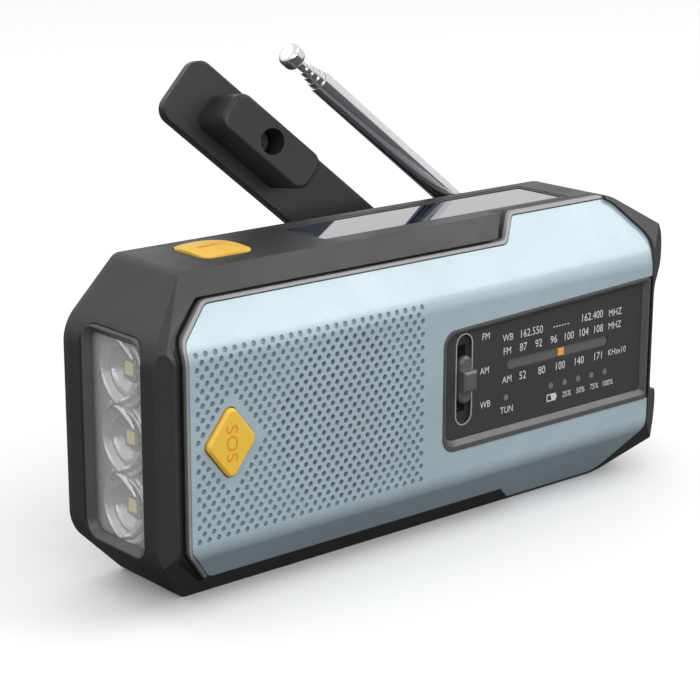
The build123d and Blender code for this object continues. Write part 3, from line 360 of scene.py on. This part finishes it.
FINISHES = {
    "case": ["front_housing", "solar_frame"],
    "rear": ["rear_cover", "battery_door", "crank_hub", "tuning_knob", "volume_knob"],
    "crank": ["crank_arm", "crank_knob"],
    "slider": ["band_slider"],
    "panel": ["front_panel"],
    # grey trim colour is partly painted highlight
    "trim": ["panel_trim"],
    "dial_frame": ["dial_frame", "torch_bezel"],
    "dial": ["dial_plate"],
    "scale": ["scale_strip"],
    "pointer": ["tuning_pointer"],
    "key": ["sos_button", "torch_button"],
    "chrome": ["antenna_tube_1", "antenna_tube_2", "antenna_tube_3", "antenna_tube_4", "antenna_tube_5",
               "antenna_tip", "antenna_swivel"],
    "mirror": ["torch_reflector"],
    "steel": ["speaker_frame", "speaker_magnet", "gearbox_plate", "generator_can", "crank_shaft",
              "crank_hinge_pin", "idler_pin", "case_screws", "usb_sockets",
              "antenna_rivet", "generator_rotor"],
    "nylon": ["drive_gear", "idler_gear"],
    "paper": ["speaker_cone"],
    "board": ["torch_board", "main_board"],
    "component": ["crank_knob_screw", "band_switch", "tact_switches", "volume_control", "tuning_capacitor"],
    "lamp": ["indicator_leds"],
    "led": ["torch_leds"],
    "copper": ["antenna_coil"],
    "ferrite": ["ferrite_rod"],
    "cell": ["battery_cell"],
    "rubber": ["port_cover"],
    "lens": ["torch_lens"],
    "solar": ["solar_cell", "solar_glass"],
}


def dress_nodes():
    """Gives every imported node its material."""
    for finish, names in FINISHES.items():
        for name in names:
            mesh = NODES[name].data
            mesh.materials.clear()
            mesh.materials.append(MATERIALS[finish])


# ------------------------------------------------------------------ mesh helpers
WELD = 1e-7


def place(mesh, name, body, finish, slot_name):
    """Makes an object of a mesh, gives it a finish and lets it ride on a body."""
    piece = bpy.data.objects.new(name, mesh)
    bpy.context.collection.objects.link(piece)
    mesh.materials.clear()
    mesh.materials.append(MATERIALS[finish])
    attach(piece, body)
    return piece


def to_mesh(result, name):
    """Named mesh of a finished bmesh, which is freed."""
    mesh = bpy.data.meshes.new(name)
    result.to_mesh(mesh)
    result.free()
    return mesh


def shade_smooth(mesh):
    """Smooth shading on every face."""
    mesh.polygons.foreach_set("use_smooth", [True] * len(mesh.polygons))


def middle_of(low, high):
    """Centre of a box."""
    return [(a + b) / 2 for a, b in zip(low, high)]


def text_mesh(lines, name, depth):
    """One mesh of several words; each line is (words, matrix, height)."""
    result = bmesh.new()
    for words, matrix, height in lines:
        data = bpy.data.curves.new("words", "FONT")
        data.body = words
        data.size = height
        data.align_x = "CENTER"
        data.align_y = "CENTER"
        data.extrude = depth
        data.resolution_u = 3
        holder = bpy.data.objects.new("words", data)
        bpy.context.collection.objects.link(holder)
        bpy.context.view_layer.update()
        shown = holder.evaluated_get(bpy.context.evaluated_depsgraph_get())
        mesh = bpy.data.meshes.new_from_object(shown)
        mesh.transform(matrix)
        result.from_mesh(mesh)
        bpy.data.objects.remove(holder)
        bpy.data.meshes.remove(mesh)
        bpy.data.curves.remove(data)
    bmesh.ops.remove_doubles(result, verts=result.verts, dist=WELD)
    return to_mesh(result, name)


def on_front(x, y, z, width=1.0):
    """Matrix that stands text upright on a face that looks along -Y, narrowed to a width."""
    face = Matrix(((1, 0, 0), (0, 0, -1), (0, 1, 0))).to_4x4()
    return Matrix.Translation((x, y, z)) @ face @ Matrix.Diagonal((width, 1, 1, 1))


# ------------------------------------------------------------------ dial printing
PRINT_GAP = 0.01 * MM
PRINT_DEPTH = 0.012 * MM
DIAL_MARGIN = 1.15 * MM
LETTER_WIDTH = 0.9
LETTER_SCALE = 1.08
NUMBER_HEIGHT = 2.35
# word, then right of the margin, above the pointer's slot and letter height, in millimetres
DIAL_WORDS = [
    ("FM", 10.2, 7.55, 2.0), ("AM", 10.0, -0.15, 2.0), ("WB", 10.4, -7.85, 2.0),
    ("WB", 16.9, 6.15, 2.1), ("162.550", 24.1, 6.2, NUMBER_HEIGHT), ("162.400", 43.5, 6.5, NUMBER_HEIGHT),
    ("MHZ", 51.2, 6.15, 2.1), ("MHZ", 51.2, 3.1, 2.1), ("FM", 16.8, 3.1, 2.1),
    ("AM", 16.9, -3.35, 2.1), ("KHzx10", 52.3, -3.2, 1.9), ("TUN", 17.0, -10.3, 2.0),
]
# evenly spaced rows: words, first place, pitch, height above the slot and letter height
DIAL_ROWS = [
    (["87", "92", "96", "100", "104", "108"], 21.7, 4.79, 3.15, NUMBER_HEIGHT),
    (["25%", "50%", "75%", "100%"], 36.0, 4.5, -10.3, 1.75),
    (["-"] * 6, 31.3, 0.9, 6.3, 2.2),
]
MEDIUM_WAVE = [("52", 21.7), ("80", 27.7), ("100", 33.5), ("140", 39.6), ("171", 46.0)]
MEDIUM_WAVE_ROW = -3.3


def make_dial_print():
    """Band names, scale numbers and charge marks on the dial plate."""
    low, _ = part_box("dial_plate")
    pointer_low, pointer_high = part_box("tuning_pointer")
    face_y = low[1] - PRINT_GAP
    slot_z = (pointer_low[2] + pointer_high[2]) / 2
    left = low[0] + DIAL_MARGIN

    def words(text, across, above, height):
        matrix = on_front(left + across * MM, face_y, slot_z + above * MM, LETTER_WIDTH)
        return (text, matrix, height * LETTER_SCALE * MM)

    lines = [words(*entry) for entry in DIAL_WORDS]
    for texts, first, pitch, above, height in DIAL_ROWS:
        lines += [words(text, first + pitch * i, above, height) for i, text in enumerate(texts)]
    lines += [words(text, across, MEDIUM_WAVE_ROW, NUMBER_HEIGHT) for text, across in MEDIUM_WAVE]
    mesh = text_mesh(lines, "dial_print", PRINT_DEPTH)
    place(mesh, "dial_print", "case", "ink", "scale_pale")


def bar_mesh(name, bars, depth, place_point):
    """Mesh of thin plates with closed (u, v) outlines; place_point puts (u, v, w) in space."""
    result = bmesh.new()
    for points in bars:
        front = [result.verts.new(place_point(u, v, depth)) for u, v in points]
        back = [result.verts.new(place_point(u, v, 0.0)) for u, v in points]
        result.faces.new(front)
        result.faces.new(back[::-1])
        for i in range(len(points)):
            k = (i + 1) % len(points)
            result.faces.new((front[k], front[i], back[i], back[k]))
    bmesh.ops.recalc_face_normals(result, faces=result.faces)
    return to_mesh(result, name)


def stadium(half_u, half_v, steps=10):
    """Points round a slot shape that is longer along v."""
    straight = half_v - half_u
    points = []
    for side in (0, 1):
        for i in range(steps + 1):
            angle = math.pi * (side + i / steps)
            points.append((half_u * math.cos(angle), half_u * math.sin(angle) + (straight, -straight)[side]))
    return points


def band_quads(inner, outer):
    """Quads between two loops with the same number of points."""
    count = len(inner)
    return [[inner[i], outer[i], outer[(i + 1) % count], inner[(i + 1) % count]] for i in range(count)]


# half sizes of the slot's outline, its width and depth, and the charge symbol's corner, in millimetres
SLOT_OUTLINE = (2.2, 10.0)
OUTLINE_WIDTH = 0.3
OUTLINE_DEPTH = 0.14
CHARGE_PLACE = (25.8, -10.2)
CHARGE_DEPTH = 0.025


def make_dial_marks():
    """Raised outline round the band switch slot, and the charge symbol."""
    low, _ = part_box("dial_plate")
    slide_low, slide_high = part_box("band_slider")
    centre = ((slide_low[0] + slide_high[0]) / 2, (slide_low[2] + slide_high[2]) / 2)

    def on_plate(u, v, w):
        return (centre[0] + u * MM, low[1] - w * MM, centre[1] + v * MM)

    half_u, half_v = SLOT_OUTLINE
    ring = band_quads(stadium(half_u, half_v), stadium(half_u + OUTLINE_WIDTH, half_v + OUTLINE_WIDTH))
    mesh = bar_mesh("slot_outline", ring, OUTLINE_DEPTH, on_plate)
    place(mesh, "slot_outline", "case", "outline", "dial_black")
    left, foot = CHARGE_PLACE
    wide, tall, line = 2.9, 1.7, 0.26
    nub = 0.3
    symbol = [
        [(0, 0), (wide, 0), (wide, line), (0, line)],
        [(0, tall - line), (wide, tall - line), (wide, tall), (0, tall)],
        [(0, line), (line, line), (line, tall - line), (0, tall - line)],
        [(wide * 0.55, line), (wide, line), (wide, tall - line), (wide * 0.42, tall - line)],
        [(wide, tall * 0.3), (wide + nub, tall * 0.3), (wide + nub, tall * 0.7), (wide, tall * 0.7)],
    ]
    bars = [[(u + left, v + foot) for u, v in bar] for bar in symbol]
    mesh = bar_mesh("charge_symbol", bars, CHARGE_DEPTH, on_plate)
    place(mesh, "charge_symbol", "case", "ink", "scale_pale")


# ------------------------------------------------------------------ key symbols
ALARM_LETTERS = 3.9 * MM
ALARM_STRETCH = 1.15
ALARM_DEPTH = 0.02 * MM
KEY_DOME_R = 40.0
TORCH_SINK = 0.02
TORCH_LINE_DEPTH = 0.12
RAY_HALF = 0.18


def make_alarm_word():
    """Generic distress letters on the front key, reading upwards."""
    low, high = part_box("sos_button")
    middle = middle_of(low, high)
    turned = on_front(middle[0], low[1] - PRINT_GAP, middle[2]) @ Matrix.Rotation(math.radians(90), 4, "Z")
    wide = turned @ Matrix.Diagonal((ALARM_STRETCH, 1.0, 1, 1))
    mesh = text_mesh([("SOS", wide, ALARM_LETTERS)], "alarm_word", ALARM_DEPTH)
    # the letters' darker orange is painted shade of engraved grooves
    place(mesh, "alarm_word", "sos_button", "key_groove_shade", "key_yellow")


def make_torch_symbol():
    """Small torch drawing on the domed top key."""
    low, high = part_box("torch_button")
    middle = middle_of(low, high)

    def on_key(u, v, w):
        sag = (u * u + v * v) / (2 * KEY_DOME_R)
        return (middle[0] + u * MM, middle[1] + v * MM, high[2] + (w * 0.5 - TORCH_SINK - sag) * MM)

    bars = [
        [(-3.6, -0.6), (-1.8, -0.6), (-1.8, 0.6), (-3.6, 0.6)],
        [(-1.8, -0.6), (0.0, -0.6), (0.0, 0.6), (-1.8, 0.6)],
        [(0.15, -0.7), (1.2, -1.4), (1.2, 1.4), (0.15, 0.7)],
    ]
    for slope in (-0.35, 0.0, 0.35):
        near, far = slope * 3, slope * 5
        lower = [(1.7, near - RAY_HALF), (3.4, far - RAY_HALF)]
        upper = [(3.4, far + RAY_HALF), (1.7, near + RAY_HALF)]
        bars.append(lower + upper)
    mesh = bar_mesh("torch_symbol", bars, TORCH_LINE_DEPTH, on_key)
    # the drawing's darker orange is painted shade of engraved grooves
    place(mesh, "torch_symbol", "torch_button", "key_groove_shade", "key_yellow")


# ------------------------------------------------------------------ torch optics
# radii and depths of a cup from its rim inwards, in millimetres
RIM_OUTER = 7.9
RIM_INNER = 7.2
FACET_INNER = 5.6
LEDGE_INNER = 4.8
FLOOR_R = 2.9
FACE_DEPTH = 0.5
RIM_DEPTH = 0.1
LEDGE_DEPTH = 1.0
CUP_FLOOR = 3.0
GRID_STEP = 0.16 * MM
CUP_CORNER = 3.6 * MM
# start, bend and finish of each leaf's spine as (rearward, up) from the lamp, in millimetres
LEAVES = [((5.2, 6.2), (2.2, 6.4), (-2.6, 2.6)), ((1.8, -7.0), (-2.6, -6.2), (-4.6, -2.2))]
LEAF_HALF = 1.45
LEAF_TIP = 0.04
LEAF_EDGE_DEPTH = 1.1
LEAF_RIB = 0.16
LEAF_ACROSS = 14
LEAF_ALONG = 28
# collar and contact bars round a lamp, and the lamp's own square, in millimetres
SQUARE = [(-1, -1), (1, -1), (1, 1), (-1, 1)]
COLLAR_GAP = 0.08
COLLAR_WIDTH = 0.75
COLLAR_DEPTH = 0.9
CONTACT_LENGTH = 1.3
CONTACT_HALF = 0.35
EMITTER_HALF = 1.35
EMITTER_DEPTH = 1.1


def cup_depth(v, w):
    """Depth of the reflector face at (v rearward, w up) from a cup centre, in millimetres."""
    radius = math.hypot(v, w)
    if radius > RIM_OUTER:
        return FACE_DEPTH
    if radius > RIM_INNER:
        return RIM_DEPTH
    if radius > FACET_INNER:
        t = (RIM_INNER - radius) / (RIM_INNER - FACET_INNER)
        facet = abs(math.sin(6 * math.atan2(w, v)))
        return 0.35 + 0.9 * t + 0.10 * facet * t
    if radius > LEDGE_INNER:
        return LEDGE_DEPTH
    if radius > FLOOR_R:
        t = (LEDGE_INNER - radius) / (LEDGE_INNER - FLOOR_R)
        return 1.3 + 1.5 * t ** 0.8
    return CUP_FLOOR


def leaf_spine(leaf, t):
    """Point on a leaf's curved spine at t from 0 to 1, and the unit vector across it."""
    spine = [(1 - t) ** 2 * a + 2 * t * (1 - t) * b + t * t * c for a, b, c in zip(*leaf)]
    slope = [2 * (1 - t) * (b - a) + 2 * t * (c - b) for a, b, c in zip(*leaf)]
    length = math.hypot(*slope)
    return spine, (-slope[1] / length, slope[0] / length)


def make_torch_blades():
    """Two bright ribbed leaves in each cup, above and below its lamp."""
    low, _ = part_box("torch_reflector")
    lamp_low, lamp_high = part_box("torch_leds")
    centre_y = (lamp_low[1] + lamp_high[1]) / 2
    result = bmesh.new()
    for centre_z in cup_heights():
        for leaf in LEAVES:
            rows = []
            for i in range(LEAF_ALONG + 1):
                t = i / LEAF_ALONG
                spine, side = leaf_spine(leaf, t)
                half = LEAF_HALF * (1 - t) ** 0.6 * min(1.0, 9 * t) ** 0.5 + LEAF_TIP
                row = []
                for k in range(LEAF_ACROSS + 1):
                    s = 2 * k / LEAF_ACROSS - 1
                    ridge = 0.5 + 0.5 * math.cos(5 * math.pi * s)
                    depth = LEAF_EDGE_DEPTH - (1 - s * s) * (1 - 0.6 * t) + LEAF_RIB * ridge
                    row.append(result.verts.new((
                        low[0] + depth * MM,
                        centre_y + (spine[0] + side[0] * half * s) * MM,
                        centre_z + (spine[1] + side[1] * half * s) * MM)))
                rows.append(row)
            for i in range(LEAF_ALONG):
                for k in range(LEAF_ACROSS):
                    result.faces.new((rows[i][k], rows[i][k + 1], rows[i + 1][k + 1], rows[i + 1][k]))
    mesh = to_mesh(result, "torch_blades")
    shade_smooth(mesh)
    place(mesh, "torch_blades", "case", "blade", "reflector_chrome")


def cup_heights():
    """Heights of the three lamp centres."""
    low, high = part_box("torch_leds")
    half = (high[1] - low[1]) / 2
    pitch = (high[2] - low[2] - 2 * half) / 2
    return [low[2] + half + pitch * i for i in range(3)]


def make_torch_cups():
    """Reflector moulding with three shallow stepped cups and their facets."""
    low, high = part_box("torch_reflector")
    lamp_low, lamp_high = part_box("torch_leds")
    centre_y = (lamp_low[1] + lamp_high[1]) / 2
    centres = cup_heights()
    columns = int((high[1] - low[1]) / GRID_STEP)
    rows = int((high[2] - low[2]) / GRID_STEP)
    result = bmesh.new()
    grid = {}
    for i in range(columns + 1):
        y = low[1] + (high[1] - low[1]) * i / columns
        for k in range(rows + 1):
            z = low[2] + (high[2] - low[2]) * k / rows
            out_y = max(low[1] + CUP_CORNER - y, y - high[1] + CUP_CORNER, 0)
            out_z = max(low[2] + CUP_CORNER - z, z - high[2] + CUP_CORNER, 0)
            if math.hypot(out_y, out_z) > CUP_CORNER:
                continue
            centre = min(centres, key=lambda c: abs(c - z))
            v, w = (y - centre_y) / MM, (z - centre) / MM
            x = min(low[0] + cup_depth(v, w) * MM, high[0])
            grid[i, k] = result.verts.new((x, y, z))
    for i in range(columns):
        for k in range(rows):
            corners = [grid.get(key) for key in ((i, k), (i, k + 1), (i + 1, k + 1), (i + 1, k))]
            if all(corners):
                result.faces.new(corners)
    mesh = to_mesh(result, "torch_cups")
    shade_smooth(mesh)
    mesh.set_sharp_from_angle(angle=math.radians(35))
    piece = place(mesh, "torch_cups", "case", "mirror", "reflector_chrome")
    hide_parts("torch_reflector")


def make_lamp_collars():
    """Square collar and contact bars round each lamp, and the lamp's own bright square."""
    lamp_low, lamp_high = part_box("torch_leds")
    cup_low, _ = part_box("torch_reflector")
    half = (lamp_high[1] - lamp_low[1]) / 2
    centre_y = (lamp_low[1] + lamp_high[1]) / 2
    inner = half / MM + COLLAR_GAP
    outer = inner + COLLAR_WIDTH
    end = outer + CONTACT_LENGTH
    thin = CONTACT_HALF
    inner_loop = [(a * inner, b * inner) for a, b in SQUARE]
    outer_loop = [(a * outer, b * outer) for a, b in SQUARE]
    bars = []
    lamps = []
    for centre_z in cup_heights():
        rise = centre_z / MM
        ring = band_quads(inner_loop, outer_loop)
        ring.append([(outer, -thin), (end, -thin), (end, thin), (outer, thin)])
        ring.append([(-end, -thin), (-outer, -thin), (-outer, thin), (-end, thin)])
        bars += [[(a, b + rise) for a, b in quad] for quad in ring]
        lamps.append([(a * EMITTER_HALF, b * EMITTER_HALF + rise) for a, b in SQUARE])

    def in_cup(u, v, w):
        return (cup_low[0] + (CUP_FLOOR - w) * MM, centre_y + u * MM, v * MM)

    collars = bar_mesh("lamp_collars", bars, COLLAR_DEPTH, in_cup)
    place(collars, "lamp_collars", "case", "outline", "reflector_chrome")
    squares = bar_mesh("lamp_emitters", lamps, EMITTER_DEPTH, in_cup)
    emitters = place(squares, "lamp_emitters", "case", "led", "lamp_white")
    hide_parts("torch_leds")


# ------------------------------------------------------------------ assemble
make_camera()
make_studio()
dress_nodes()
make_dial_print()
make_dial_marks()
make_alarm_word()
make_torch_symbol()
make_torch_cups()
make_torch_blades()
make_lamp_collars()
